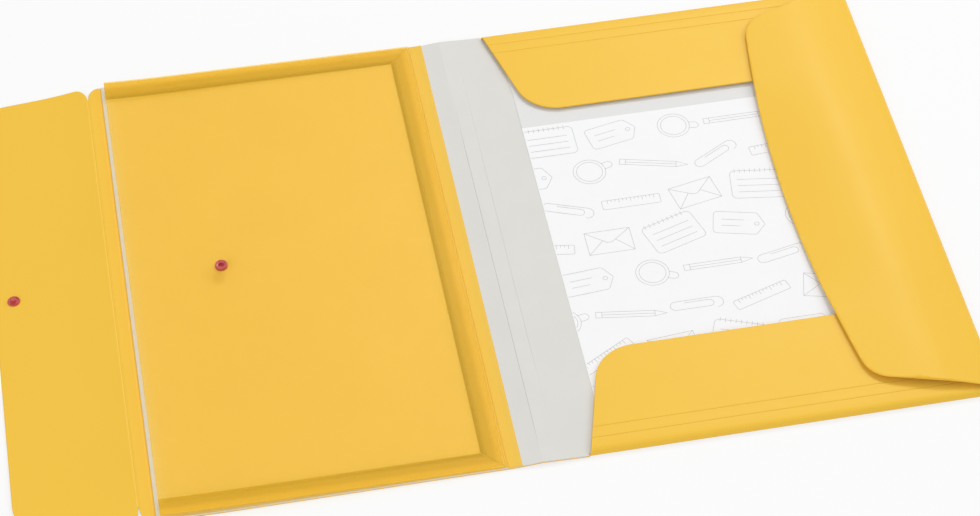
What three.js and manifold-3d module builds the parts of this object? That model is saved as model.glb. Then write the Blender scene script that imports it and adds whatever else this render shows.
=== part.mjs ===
// Three-flap folder for loose A4 sheets, lying open on its back.
// Millimetres, +X from the front cover to the back panel, +Y up the page, +Z away from the table.
// Inside this file x = 0 is the score between front cover and spine, y = 0 the bottom edge,
// and the last lines move the folder so that its origin is under the middle of its box.

import * as THREE from 'three';
import { mergeVertices } from 'three/addons/utils/BufferGeometryUtils.js';
import Module from 'manifold-3d';

const wasm = await Module();
wasm.setup();

// The sheet that the folder is made for, and the room left round it on the back panel
const sheet_width = 210;
const sheet_height = 297;
const sheet_end_margin = 16.5;
const sheet_spine_margin = 27.9;
const sheet_side_margin = 9.3;

// Covers
const front_width = 208;
const spine_width = 8.6;
const score_gap = 0.3;

// Sheet materials
const shell_thickness = 0.8;
const lining_thickness = 0.4;
const film_thickness = 0.4;
const paper_thickness = 0.3;
const resting_gap = 0.3;

// Closure at the free edge of the front cover
const closure_strip_width = 8.3;
const closure_flap_width = 66;
const closure_end_taper = 6;
const closure_fold_radius = 7.5;
const closure_edge_radius = 18;

// Three flaps round the back panel
const document_depth = 4.5;
const fold_inset = 0.5;
const flap_start = 17.4;
const end_flap_depth = 70;
const end_flap_slope = 15;
const end_flap_radius = 25;
const mitre_gap = 2;
const mitre_radius = 5;
const side_flap_depth = 79.4;
const side_flap_bow = 880;
const side_flap_end_inset = 1.5;
const side_flap_end_slope = 16;
const side_flap_corner = 34;
const flap_stack_gap = 0.3;

// Film pocket on the front cover
const pocket_depth = 4.6;
const pocket_mouth_setback = 2.5;
const pocket_spine_margin = 19;
const pocket_flange_width = 7.7;
const bellows_depth = 12.5;
const weld_width = 3;
const bellows_thickness = 0.3;

// Press stud
const snap_radius = 3.6;
const snap_reach = 55;
const snap_above_middle = 4;
const stud_flange = 0.7;
const stud_rim = 0.5;
const stud_post_radius = 1.6;
const stud_post_height = 2.6;
const stud_bore_radius = 1.0;
const cap_head = 0.4;
const cap_pin_radius = 0.7;
const socket_height = 1.6;
const socket_roof = 0.3;
const eyelet_flange = 0.3;
const eyelet_wall = 0.4;

// Fineness of curves
const corner_steps = 8;
const bow_steps = 24;
const snap_sides = 32;

// Height of every panel, and width of the back panel
const folder_height = sheet_height + 2 * sheet_end_margin;
const back_width = sheet_spine_margin + sheet_width + sheet_side_margin;

// Levels above the table
const lining_top = shell_thickness + lining_thickness;
const film_underside = lining_top + pocket_depth;
const end_flap_underside = lining_top + document_depth;
const side_flap_underside = end_flap_underside + shell_thickness + flap_stack_gap;

// Lines across the folder
const closure_strip_score = -front_width;
const closure_flap_score = closure_strip_score - closure_strip_width;
const closure_edge = closure_flap_score - closure_flap_width;
const back_score = spine_width;
const back_edge = back_score + back_width;
const side_fold = back_edge - shell_thickness;
const flap_end = back_score + flap_start;

// Lines up the folder
const bottom_fold = fold_inset + shell_thickness;
const top_fold = folder_height - fold_inset - shell_thickness;
const middle = folder_height / 2;
const snap_line = middle + snap_above_middle;

// The two halves of the press stud meet when strip and flap have both turned a right angle.
const stud_place = closure_flap_score - snap_reach;
const socket_place = closure_strip_score + snap_reach;

const shell_yellow = new THREE.MeshStandardMaterial({ color: 0xf5c74e, roughness: 0.45, metalness: 0 });
const lining_grey = new THREE.MeshStandardMaterial({ color: 0xdeddd8, roughness: 0.6, metalness: 0 });
const film_yellow = new THREE.MeshStandardMaterial({
  color: 0xf3c24a, roughness: 0.35, metalness: 0, transparent: true, opacity: 0.75,
});
const snap_red = new THREE.MeshStandardMaterial({ color: 0xc9504f, roughness: 0.3, metalness: 0 });
const sheet_white = new THREE.MeshStandardMaterial({ color: 0xf7f7f8, roughness: 0.8, metalness: 0 });

const folder = new THREE.Group();

function add(name, geometry, finish, x = 0, y = 0, z = 0) {
  const mesh = new THREE.Mesh(geometry, finish);
  mesh.name = name;
  mesh.position.set(x, y, z);
  folder.add(mesh);
  return mesh;
}

// Points of a closed outline whose corners, given as [x, y, radius], are rounded by arcs.
function roundedOutline(corners) {
  const points = [];
  corners.forEach(([x, y, radius = 0], i) => {
    const corner = new THREE.Vector2(x, y);
    if (radius === 0) {
      points.push(corner);
      return;
    }
    const before = corners[(i + corners.length - 1) % corners.length];
    const after = corners[(i + 1) % corners.length];
    const back = new THREE.Vector2(before[0], before[1]).sub(corner).normalize();
    const on = new THREE.Vector2(after[0], after[1]).sub(corner).normalize();
    const half_angle = Math.acos(back.dot(on)) / 2;
    const centre = back.clone().add(on).normalize().multiplyScalar(radius / Math.sin(half_angle)).add(corner);
    const tangent = radius / Math.tan(half_angle);
    const start = back.clone().multiplyScalar(tangent).add(corner).sub(centre);
    const turn = (Math.PI - 2 * half_angle) * Math.sign(on.cross(back));
    for (let k = 0; k <= corner_steps; k += 1) {
      points.push(start.clone().rotateAround(new THREE.Vector2(), (turn * k) / corner_steps).add(centre));
    }
  });
  return points;
}

function rectangle(left, bottom, right, top) {
  return roundedOutline([[left, bottom], [right, bottom], [right, top], [left, top]]);
}

// A flat sheet standing on z = 0, with round holes given as [x, y, radius].
function flatSheet(outline, thickness, holes = []) {
  const shape = new THREE.Shape(outline);
  holes.forEach(([x, y, radius]) => {
    const rim = [];
    for (let k = 0; k < snap_sides; k += 1) {
      const angle = (-2 * Math.PI * k) / snap_sides;
      rim.push(new THREE.Vector2(x + radius * Math.cos(angle), y + radius * Math.sin(angle)));
    }
    shape.holes.push(new THREE.Path(rim));
  });
  return new THREE.ExtrudeGeometry(shape, { depth: thickness, bevelEnabled: false });
}

// A round part about the z axis, from its [radius, height] profile, listed anticlockwise.
function turned(profile) {
  const points = [...profile, profile[0]].map(([r, h]) => new THREE.Vector2(r, h));
  return new THREE.LatheGeometry(points, snap_sides).rotateX(Math.PI / 2);
}

function asManifold(geometry) {
  const bare = geometry.clone();
  bare.deleteAttribute('normal');
  bare.deleteAttribute('uv');
  const merged = mergeVertices(bare, 1e-4);
  return new wasm.Manifold(new wasm.Mesh({
    numProp: 3,
    vertProperties: new Float32Array(merged.attributes.position.array),
    triVerts: new Uint32Array(merged.index.array),
  }));
}

function difference(body, tool) {
  const mesh = asManifold(body).subtract(asManifold(tool)).getMesh();
  const geometry = new THREE.BufferGeometry();
  geometry.setAttribute('position', new THREE.BufferAttribute(new Float32Array(mesh.vertProperties), 3));
  geometry.setIndex(new THREE.BufferAttribute(new Uint32Array(mesh.triVerts), 1));
  geometry.computeVertexNormals();
  return geometry;
}

// Front cover: one panel of shell sheet with the grey lining bonded on its inside.
function frontCover() {
  const right = -score_gap / 2;
  const left = closure_strip_score + score_gap / 2;
  const lining_left = closure_strip_score + resting_gap;
  add('front_panel', flatSheet(rectangle(left, 0, right, folder_height), shell_thickness), shell_yellow);
  add(
    'front_lining',
    flatSheet(rectangle(lining_left, 0, right, folder_height), lining_thickness),
    lining_grey, 0, 0, shell_thickness,
  );
}

// Spine: the narrow strip between two scores, lined like the covers.
function spine() {
  const outline = rectangle(score_gap / 2, 0, spine_width - score_gap / 2, folder_height);
  add('spine_panel', flatSheet(outline, shell_thickness), shell_yellow);
  add('spine_lining', flatSheet(outline, lining_thickness), lining_grey, 0, 0, shell_thickness);
}

// Outline of the back panel or its lining: full height beside the spine, stepped in where flaps fold.
function backOutline(step, inset) {
  return roundedOutline([
    [back_score + score_gap / 2, 0],
    [step, 0],
    [step, bottom_fold + inset],
    [side_fold - inset, bottom_fold + inset],
    [side_fold - inset, top_fold - inset],
    [step, top_fold - inset],
    [step, folder_height],
    [back_score + score_gap / 2, folder_height],
  ]);
}

function backCover() {
  const step = flap_end - score_gap;
  add('back_panel', flatSheet(backOutline(step, 0), shell_thickness), shell_yellow);
  add(
    'back_lining', flatSheet(backOutline(step, resting_gap), lining_thickness),
    lining_grey, 0, 0, shell_thickness,
  );
}

function printedSheet() {
  const left = back_score + sheet_spine_margin;
  const bottom = sheet_end_margin;
  const outline = rectangle(left, bottom, left + sheet_width, bottom + sheet_height);
  add('insert_sheet', flatSheet(outline, paper_thickness), sheet_white, 0, 0, lining_top);
}

// The standing strip of an end fold, and the flap that lies inward from its top edge.
// fold is the line of the fold, and inward is +1 or -1 along y.
function endFlap(name, fold, inward) {
  const right = side_fold - resting_gap;
  const wall_height = end_flap_underside - shell_thickness - score_gap;
  const outer = fold - inward * shell_thickness;
  const wall = rectangle(flap_end, Math.min(fold, outer), right, Math.max(fold, outer));
  add(`${name}_fold_strip`, flatSheet(wall, wall_height), shell_yellow, 0, 0, shell_thickness + score_gap);

  const lean = end_flap_depth * Math.tan(THREE.MathUtils.degToRad(end_flap_slope));
  const mitre = (depth) => side_fold - mitre_gap - depth;
  const corners = [
    [flap_end, score_gap],
    [mitre(score_gap), score_gap],
    [mitre(end_flap_depth), end_flap_depth, mitre_radius],
    [flap_end + lean, end_flap_depth, end_flap_radius],
  ].map(([x, depth, radius]) => [x, fold + inward * depth, radius]);
  add(`${name}_flap`, flatSheet(roundedOutline(corners), shell_thickness), shell_yellow, 0, 0, end_flap_underside);
}

// Outline of the side flap: slanted ends, swept corners and a gently bowed free edge.
function sideFlapOutline() {
  const hinge = side_fold - score_gap;
  const tip = side_fold - side_flap_depth;
  const centre = new THREE.Vector2(tip + side_flap_bow, middle);
  const half_height = middle - side_flap_corner;
  const reach = Math.asin(half_height / side_flap_bow);
  const edge = [];
  for (let k = 0; k <= bow_steps; k += 1) {
    const angle = Math.PI - reach + (2 * reach * k) / bow_steps;
    edge.push(new THREE.Vector2(Math.cos(angle), Math.sin(angle)).multiplyScalar(side_flap_bow).add(centre));
  }
  const slope = Math.tan(THREE.MathUtils.degToRad(side_flap_end_slope));
  const end_height = (x) => side_flap_end_inset + (side_fold - x) * slope;
  const bow_end = edge[edge.length - 1];
  const tangent_run = Math.tan(reach);
  const corner_x = (bow_end.x + (bow_end.y - side_flap_end_inset - side_fold * slope) * tangent_run)
    / (1 - slope * tangent_run);
  const corner = new THREE.Vector2(corner_x, end_height(corner_x));
  const corner_reach = corner.distanceTo(bow_end);
  const along_end = new THREE.Vector2(1, -slope).normalize().multiplyScalar(corner_reach).add(corner);
  const lower_corner = new THREE.QuadraticBezierCurve(bow_end, corner, along_end).getPoints(corner_steps);
  const mirrored = (point) => new THREE.Vector2(point.x, folder_height - point.y);
  return [
    new THREE.Vector2(hinge, folder_height - end_height(hinge)),
    ...lower_corner.slice(1).reverse().map(mirrored),
    ...edge,
    ...lower_corner.slice(1),
    new THREE.Vector2(hinge, end_height(hinge)),
  ];
}

function sideFlap() {
  const wall_height = side_flap_underside - shell_thickness - score_gap;
  const end = side_flap_end_inset;
  const wall = rectangle(side_fold, end, back_edge, folder_height - end);
  add('side_fold_strip', flatSheet(wall, wall_height), shell_yellow, 0, 0, shell_thickness + score_gap);
  add('side_flap', flatSheet(sideFlapOutline(), shell_thickness), shell_yellow, 0, 0, side_flap_underside);
}

// Closure: the unlined strip that turns up beside the pocket mouth, and the flap that covers it.
function closure() {
  const strip = roundedOutline([
    [closure_strip_score - score_gap / 2, 0],
    [closure_strip_score - score_gap / 2, folder_height],
    [closure_flap_score + score_gap / 2, folder_height, closure_fold_radius],
    [closure_flap_score + score_gap / 2, 0, closure_fold_radius],
  ]);
  add('closure_strip', flatSheet(strip, shell_thickness), shell_yellow);

  const taper = closure_flap_width * Math.tan(THREE.MathUtils.degToRad(closure_end_taper));
  const fold = closure_flap_score - score_gap / 2;
  const flap = roundedOutline([
    [fold, 0, closure_fold_radius],
    [fold, folder_height, closure_fold_radius],
    [closure_edge, folder_height - taper, closure_edge_radius],
    [closure_edge, taper, closure_edge_radius],
  ]);
  const pierced = flatSheet(flap, shell_thickness, [[stud_place, snap_line, stud_bore_radius]]);
  const seat_radius = snap_radius + resting_gap;
  const seat_depth = cap_head + resting_gap;
  const seat = new THREE.CylinderGeometry(seat_radius, seat_radius, 2 * seat_depth, snap_sides);
  seat.rotateX(Math.PI / 2).translate(stud_place, snap_line, 0);
  add('closure_flap', difference(pierced, seat), shell_yellow);
}

// Stud half of the press stud: a flush cap under the flap, riveted into the stud above it.
function studHalf() {
  const pin_top = shell_thickness + stud_post_height - 2 * resting_gap;
  add('snap_cap', turned([
    [0, 0],
    [snap_radius, 0],
    [snap_radius, cap_head],
    [cap_pin_radius, cap_head],
    [cap_pin_radius, pin_top - resting_gap],
    [0, pin_top - resting_gap],
  ]), snap_red, stud_place, snap_line, 0);

  const neck = stud_post_radius - resting_gap;
  const bore_top = stud_post_height - 2 * resting_gap;
  add('snap_stud', turned([
    [stud_bore_radius, 0],
    [snap_radius, 0],
    [snap_radius, stud_flange],
    [snap_radius - stud_rim, stud_flange],
    [snap_radius - 2 * stud_rim, stud_flange - resting_gap],
    [neck, stud_flange - resting_gap],
    [stud_post_radius, (stud_flange + stud_post_height) / 2],
    [neck, stud_post_height],
    [0, stud_post_height],
    [0, bore_top],
    [stud_bore_radius, bore_top],
  ]), snap_red, stud_place, snap_line, shell_thickness);
}

// Socket half: an eyelet under the film whose neck rises into the socket ring above it.
function socketHalf() {
  const way = stud_post_radius + resting_gap;
  const neck = way + eyelet_wall;
  const film_top = film_underside + film_thickness;
  const neck_top = eyelet_flange + film_thickness + socket_height - socket_roof - resting_gap;
  add('snap_eyelet', turned([
    [way, 0],
    [snap_radius, 0],
    [snap_radius, eyelet_flange],
    [neck, eyelet_flange],
    [neck, neck_top],
    [way, neck_top],
  ]), snap_red, socket_place, snap_line, film_underside - eyelet_flange);

  add('snap_socket', turned([
    [neck + resting_gap, 0],
    [snap_radius, 0],
    [snap_radius, socket_height - socket_roof],
    [snap_radius - socket_roof, socket_height],
    [way, socket_height],
    [way, socket_height - socket_roof],
    [neck + resting_gap, socket_height - socket_roof],
  ]), snap_red, socket_place, snap_line, film_top);
  return neck + resting_gap;
}

// A run of bellows: flat weld lips at the outer edge and one pleat folded inward between them.
// depth runs inward along depth_axis, and start and end give the run's limits at each depth.
function bellows(depth_axis, origin, start, end) {
  const slope = Math.atan2(pocket_depth / 2, bellows_depth - weld_width);
  const inner_tip = bellows_depth - bellows_thickness / Math.sin(slope);
  const bend = weld_width - bellows_thickness * Math.tan(slope / 2);
  const profile = new THREE.Shape([
    [0, 0], [weld_width, 0], [bellows_depth, pocket_depth / 2], [weld_width, pocket_depth],
    [0, pocket_depth], [0, pocket_depth - bellows_thickness],
    [bend, pocket_depth - bellows_thickness], [inner_tip, pocket_depth / 2],
    [bend, bellows_thickness], [0, bellows_thickness],
  ].map(([depth, height]) => new THREE.Vector2(depth, height)));
  const geometry = new THREE.ExtrudeGeometry(profile, { depth: 1, bevelEnabled: false });
  const position = geometry.attributes.position;
  for (let i = 0; i < position.count; i += 1) {
    const limit = position.getZ(i) > 0.5 ? end : start;
    position.setZ(i, limit(position.getX(i)));
  }
  const up = new THREE.Vector3(0, 0, 1);
  const run_axis = new THREE.Vector3().crossVectors(depth_axis, up);
  geometry.applyMatrix4(new THREE.Matrix4().makeBasis(depth_axis, up, run_axis).setPosition(origin));
  geometry.computeVertexNormals();
  return geometry;
}

// Film pocket: a front sheet on bellows along top, bottom and spine side, open at the closure.
function pocket() {
  const left = closure_strip_score + pocket_mouth_setback;
  const right = -pocket_spine_margin;
  const way = socketHalf();
  const film = flatSheet(rectangle(left, 0, right, folder_height), film_thickness, [[socket_place, snap_line, way]]);
  add('pocket_film', film, film_yellow, 0, 0, film_underside);

  const toMitre = (depth) => depth + score_gap;
  const bottom_end = (depth) => right - toMitre(depth);
  add('pocket_bellows_bottom', bellows(
    new THREE.Vector3(0, 1, 0), new THREE.Vector3(0, 0, lining_top), () => left, bottom_end,
  ), film_yellow);
  add('pocket_bellows_top', bellows(
    new THREE.Vector3(0, -1, 0), new THREE.Vector3(0, folder_height, lining_top),
    (depth) => -bottom_end(depth), () => -left,
  ), film_yellow);
  add('pocket_bellows_spine', bellows(
    new THREE.Vector3(-1, 0, 0), new THREE.Vector3(right, 0, lining_top),
    toMitre, (depth) => folder_height - toMitre(depth),
  ), film_yellow);

  const flange_left = right + score_gap;
  const flange = rectangle(flange_left, 0, flange_left + pocket_flange_width, folder_height);
  add('pocket_flange', flatSheet(flange, film_thickness), film_yellow, 0, 0, lining_top);
}

frontCover();
spine();
backCover();
printedSheet();
endFlap('top', top_fold, -1);
endFlap('bottom', bottom_fold, 1);
sideFlap();
closure();
studHalf();
pocket();

folder.position.set(-(closure_edge + back_edge) / 2, -middle, 0);

export default folder;
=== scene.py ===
import math

import bpy
import numpy as np
from mathutils import Matrix, Vector
from mathutils.geometry import delaunay_2d_cdt


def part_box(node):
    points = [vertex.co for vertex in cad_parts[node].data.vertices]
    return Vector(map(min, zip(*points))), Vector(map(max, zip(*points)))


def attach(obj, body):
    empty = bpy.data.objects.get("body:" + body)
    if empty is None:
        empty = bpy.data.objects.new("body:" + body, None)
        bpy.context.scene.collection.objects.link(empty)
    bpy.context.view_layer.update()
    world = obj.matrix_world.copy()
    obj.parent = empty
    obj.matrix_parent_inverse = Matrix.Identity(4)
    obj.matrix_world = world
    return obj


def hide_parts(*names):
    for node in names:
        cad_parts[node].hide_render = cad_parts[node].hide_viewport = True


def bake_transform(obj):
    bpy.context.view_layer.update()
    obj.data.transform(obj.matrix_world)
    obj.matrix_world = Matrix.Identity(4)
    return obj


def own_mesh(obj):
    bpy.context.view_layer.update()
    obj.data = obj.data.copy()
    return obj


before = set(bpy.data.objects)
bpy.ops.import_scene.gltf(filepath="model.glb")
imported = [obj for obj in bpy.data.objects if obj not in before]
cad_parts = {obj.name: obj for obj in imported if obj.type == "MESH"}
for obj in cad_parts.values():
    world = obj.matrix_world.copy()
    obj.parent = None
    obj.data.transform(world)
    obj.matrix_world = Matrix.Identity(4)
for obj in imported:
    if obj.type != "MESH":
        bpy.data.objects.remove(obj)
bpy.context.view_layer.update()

# The back cover and half of the spine are one panel of scored polypropylene sheet, which
# lies on the table. It is die-cut with the rest of the shell, steps in where the flaps
# fold up, and its outer face is smooth with a fine matt grain.
mm = 0.001
shell_thickness = 0.8 * mm
rim = 0.18 * mm
second_ring_rims = 4
ring_gap_rims = 2
grid_gap_rims = 5
panel_step = 5 * mm
flap_step = 4 * mm
least_step = 0.4 * mm
shortest_edge = 0.1 * mm
line_stations = (-4, -2, -1, -0.5, 0, 0.5, 1, 2, 4)
no_length = 1e-9
same_place = 1e-6
score_half_width = 0.4 * mm
yellow = "F7C84B"
yellow_shade = "F4C447"
noise_range = (0.3, 0.7)
swell_waves = 5
swell_stretch = (0.7, 1.6)


def screen_colour(code, alpha=1.0):
    """A colour as it looks on a screen, six hexadecimal digits, in the linear values that shaders take."""
    levels = [int(code[i:i + 2], 16) / 255 for i in (0, 2, 4)]
    linear = [v / 12.92 if v <= 0.04045 else ((v + 0.055) / 1.055) ** 2.4 for v in levels]
    return (*linear, alpha)


def new_finish(name):
    """A new material, its nodes, and the sockets of its surface."""
    finish = bpy.data.materials.new(name)
    finish.use_nodes = True
    nodes = finish.node_tree.nodes
    return finish, nodes, nodes["Principled BSDF"].inputs


def join(source, socket):
    socket.id_data.links.new(source, socket)


def blotches(nodes, scale, detail=3.0):
    """Noise that is fixed to the piece; the scale is in blotches for each metre."""
    place = nodes.new("ShaderNodeTexCoord")
    noise = nodes.new("ShaderNodeTexNoise")
    noise.inputs["Scale"].default_value = scale
    noise.inputs["Detail"].default_value = detail
    join(place.outputs["Object"], noise.inputs["Vector"])
    return noise.outputs["Fac"]


def vary_colour(nodes, surface, factor, light, dark):
    mix = nodes.new("ShaderNodeMix")
    mix.data_type = "RGBA"
    mix.inputs["A"].default_value = screen_colour(dark)
    mix.inputs["B"].default_value = screen_colour(light)
    join(factor, mix.inputs["Factor"])
    join(mix.outputs["Result"], surface["Base Color"])
    return mix


def make_finish(name, colours, scales, roughness, grain, detail=2.0, strength=0.3, specular=0.5):
    """A finish of two close colours, light and dark, with uneven roughness and a fine embossed grain.
    scales are blotches for each metre of the colour, the roughness and the grain; roughness is its
    least and most; and grain is its height, with a detail and a strength."""
    finish, nodes, surface = new_finish(name)
    even = vary_colour(nodes, surface, blotches(nodes, scales[0]), *colours)
    spread = nodes.new("ShaderNodeMapRange")
    for socket, number in zip(("From Min", "From Max", "To Min", "To Max"), (*noise_range, *roughness)):
        spread.inputs[socket].default_value = number
    join(blotches(nodes, scales[1]), spread.inputs["Value"])
    join(spread.outputs["Result"], surface["Roughness"])
    bump = nodes.new("ShaderNodeBump")
    bump.inputs["Distance"].default_value = grain
    bump.inputs["Strength"].default_value = strength
    join(blotches(nodes, scales[2], detail), bump.inputs["Height"])
    join(bump.outputs["Normal"], surface["Normal"])
    surface["Specular IOR Level"].default_value = specular
    return finish, nodes, surface, even


def make_shell_finish(name):
    return make_finish(
        name, (yellow, yellow_shade), scales=(14, 90, 1600), roughness=(0.30, 0.34), grain=0.03 * mm,
        strength=0.35, specular=0.07)


shell_finish = make_shell_finish("shell_yellow_sheet")[0]


def stations(start, end, step, lines=(), spread=score_half_width):
    """Places to cut a sheet's mesh at, from start to end: a step apart and close beside each line."""
    even = np.linspace(start, end, max(2, math.ceil((end - start) / step) + 1))
    fine = [line + spread * k for line in lines for k in line_stations]
    fine = np.array([v for v in fine if start <= v <= end])
    kept = [v for v in even if fine.size == 0 or np.abs(fine - v).min() > least_step]
    return np.unique(np.round(np.concatenate([kept, fine]), 7))


def near(values, place):
    return np.abs(values - place) < same_place


def edges_of(loop):
    return zip(loop, np.roll(loop, -1, axis=0))


def cut_at_stations(loop, columns, rows):
    """The loop with a point more wherever an edge crosses a column or a row."""
    points = []
    for p, q in edges_of(loop):
        length = np.linalg.norm(q - p)
        shares = [0.0]
        for axis, places in ((0, columns), (1, rows)):
            if abs(q[axis] - p[axis]) > no_length:
                shares += [t for t in (places - p[axis]) / (q[axis] - p[axis]) if 0 < t < 1]
        kept = []
        for t in sorted(shares):
            clear_before = not kept or (t - kept[-1]) * length > shortest_edge
            if clear_before and (t == 0 or (1 - t) * length > shortest_edge):
                kept.append(t)
        points += [p + (q - p) * t for t in kept]
    return np.array(points)


def moved_inward(loop, widths):
    """The loop moved into the sheet, each of its edges by its own width."""
    ahead = np.roll(loop, -1, axis=0) - loop
    ahead /= np.linalg.norm(ahead, axis=1)[:, None]
    after = np.column_stack([-ahead[:, 1], ahead[:, 0]])
    before = np.roll(after, 1, axis=0)
    width_before = np.roll(widths, 1)
    moves, least_turn, least_mitre = [], 0.1, 0.2
    for a, b, wa, wb in zip(before, after, width_before, widths):
        across = a[0] * b[1] - a[1] * b[0]
        if abs(wa - wb) < no_length or abs(across) < least_turn:
            moves.append(min(wa, wb) * (a + b) / max(1 + a @ b, least_mitre))
        else:
            moves.append(np.array([wa * b[1] - wb * a[1], wb * a[0] - wa * b[0]]) / across)
    return loop + np.array(moves)


def in_sheet(points, loops):
    found = np.zeros(len(points), bool)
    for loop in loops:
        for p, q in edges_of(loop):
            if p[1] == q[1]:
                continue
            crosses = (p[1] > points[:, 1]) != (q[1] > points[:, 1])
            meets = p[0] + (points[:, 1] - p[1]) * (q[0] - p[0]) / (q[1] - p[1])
            found ^= crosses & (points[:, 0] < meets)
    return found


def edge_distance(points, loops):
    nearest = np.full(len(points), np.inf)
    for loop in loops:
        for p, q in edges_of(loop):
            along = q - p
            share = np.clip((points - p) @ along / (along @ along), 0, 1)
            nearest = np.minimum(nearest, np.linalg.norm(points - p - share[:, None] * along, axis=1))
    return nearest


def triangles_of(points, loops):
    """Triangles between the points that fill the sheet whose loops are the first of them. They are
    found in millimetres, as the search for them needs lengths near 1."""
    in_millimetres, join_within = 1000, 1e-5
    ends, start = [], 0
    for loop in loops:
        ends += [(start + i, start + (i + 1) % len(loop)) for i in range(len(loop))]
        start += len(loop)
    _, _, faces, sources = delaunay_2d_cdt(
        [Vector(p) * in_millimetres for p in points], ends, [], 0, join_within)[:4]
    index = [source[0] for source in sources]
    faces = np.array([[index[k] for k in face] for face in faces])
    middles = points[faces].mean(axis=1)
    return faces[in_sheet(middles, loops)]


def make_sheet(name, loops, place, thickness, columns, rows, finish, butts=None, edge=rim):
    """A closed thin sheet with softly rounded edges. loops are its outline, anticlockwise, and its holes,
    clockwise, on the flat. place turns flat coordinates into points of its face, and thickness is a length
    or a function of them. butts says which edges meet another sheet and stay square, and edge is the
    radius of the others."""
    def thick(points):
        return thickness(*points.T) if callable(thickness) else np.full(len(points), thickness)

    loops = [cut_at_stations(np.array(loop, float), columns, rows) for loop in loops]
    rims, seconds = [], []
    for loop in loops:
        middles = (loop + np.roll(loop, -1, axis=0)) / 2
        square = butts(middles[:, 0], middles[:, 1]) if butts else np.zeros(len(loop), bool)
        rims.append(moved_inward(loop, np.where(square, 0, edge)))
        seconds.append(moved_inward(loop, np.full(len(loop), second_ring_rims * edge)))
    flat = [*rims]
    grid = np.array([(u, v) for u in columns for v in rows])
    for inner, gap_rims in ((np.concatenate(seconds), ring_gap_rims), (grid, grid_gap_rims)):
        inner = inner[in_sheet(inner, rims)]
        flat.append(inner[edge_distance(inner, rims) > gap_rims * edge])
    flat = np.concatenate(flat)
    fill = triangles_of(flat, rims)
    outer = np.concatenate(loops)
    verts = np.concatenate([
        below(place, flat, 0 * thick(flat)),
        below(place, flat, thick(flat)),
        below(place, outer, 0 * thick(outer) + edge),
        below(place, outer, thick(outer) - edge),
    ])

    n, m = len(flat), len(outer)
    faces = [tuple(face) for face in fill] + [tuple(face[::-1] + n) for face in fill]
    start = 0
    for loop in loops:
        for i in range(len(loop)):
            a, b = start + i, start + (i + 1) % len(loop)
            for low, high in ((2 * n, 0), (2 * n + m, 2 * n), (n, 2 * n + m)):
                faces.append((low + a, low + b, high + b, high + a))
        start += len(loop)
    return new_piece(name, verts, faces, finish)


def below(place, points, depth):
    """Points at a depth under the face that place gives, along its normal."""
    u, v = points[:, 0], points[:, 1]
    tiny = 0.01 * mm
    along_u = place(u + tiny, v) - place(u - tiny, v)
    along_v = place(u, v + tiny) - place(u, v - tiny)
    normal = np.cross(along_u, along_v)
    normal /= np.linalg.norm(normal, axis=1)[:, None]
    return place(u, v) - depth[:, None] * normal


def add_object(name, data):
    added = bpy.data.objects.new(name, data)
    bpy.context.scene.collection.objects.link(added)
    return added


def new_piece(name, verts, faces, finish, sharp=50):
    """A mesh with smooth faces, but for edges that turn by more than the sharp angle in degrees."""
    mesh = bpy.data.meshes.new(name)
    mesh.from_pydata([tuple(v) for v in verts], [], [tuple(int(k) for k in face) for face in faces])
    mesh.polygons.foreach_set("use_smooth", [True] * len(mesh.polygons))
    mesh.set_sharp_from_angle(angle=math.radians(sharp))
    mesh.materials.append(finish)
    mesh.update()
    return add_object(name, mesh)


def swell(x, y, seed, length):
    """A smooth unevenness between -1 and 1, as of a sheet that doesn't lie quite flat."""
    draw = np.random.default_rng(seed)
    total, whole_turn = 0, 2 * np.pi
    for _ in range(swell_waves):
        angle, phase, stretch = draw.uniform(
            (0, 0, swell_stretch[0]), (whole_turn, whole_turn, swell_stretch[1]))
        along = x * np.cos(angle) + y * np.sin(angle)
        total = total + np.sin(2 * np.pi * stretch * along / length + phase)
    return total / swell_waves


def groove(x, line, half_width=score_half_width):
    """1 on a score line and 0 away from it."""
    return np.exp(-((x - line) / half_width) ** 2)


def rectangle(left, bottom, right, top):
    return [(left, bottom), (right, bottom), (right, top), (left, top)]


def arc(centre, radius, start, end, steps=10):
    """Points of an arc between two angles in degrees."""
    turns = np.radians(np.linspace(start, end, steps + 1))
    return [(centre[0] + radius * np.cos(a), centre[1] + radius * np.sin(a)) for a in turns]


spine_low, spine_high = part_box("spine_panel")
back_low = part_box("back_panel")[0]
front_low, front_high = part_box("front_panel")
cover_score = (front_high[0] + spine_low[0]) / 2
back_score = (spine_high[0] + back_low[0]) / 2
spine_middle = (cover_score + back_score) / 2
bottom, top = front_low[1], front_high[1]
groove_depth = 0.28 * mm
ridge_height = 1.3 * mm
ridge_run = 16 * mm
ridge_rise_power = 1.3
ridge_fall = 50 * mm
ridge_fall_power = 1.7
strip_low, strip_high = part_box("closure_strip")
closure_low, closure_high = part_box("closure_flap")
strip_score = (strip_high[0] + front_low[0]) / 2
flap_score = (strip_low[0] + closure_high[0]) / 2
strip_rise = 1.0 * mm
fold_rise = 1.9 * mm
rise_run = 44 * mm
fold_fall = 32 * mm
fold_run = 1.0 * mm
fold_height = 1.0 * mm
bottom_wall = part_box("bottom_fold_strip")[0][1]
top_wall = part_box("top_fold_strip")[1][1]
side_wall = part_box("side_fold_strip")[1][0]
flap_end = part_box("bottom_flap")[0][0]
shell_step_gap = 0.2 * mm
shell_swell = 0.08 * mm
shell_swell_seed, shell_swell_length = 3, 0.16


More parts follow.
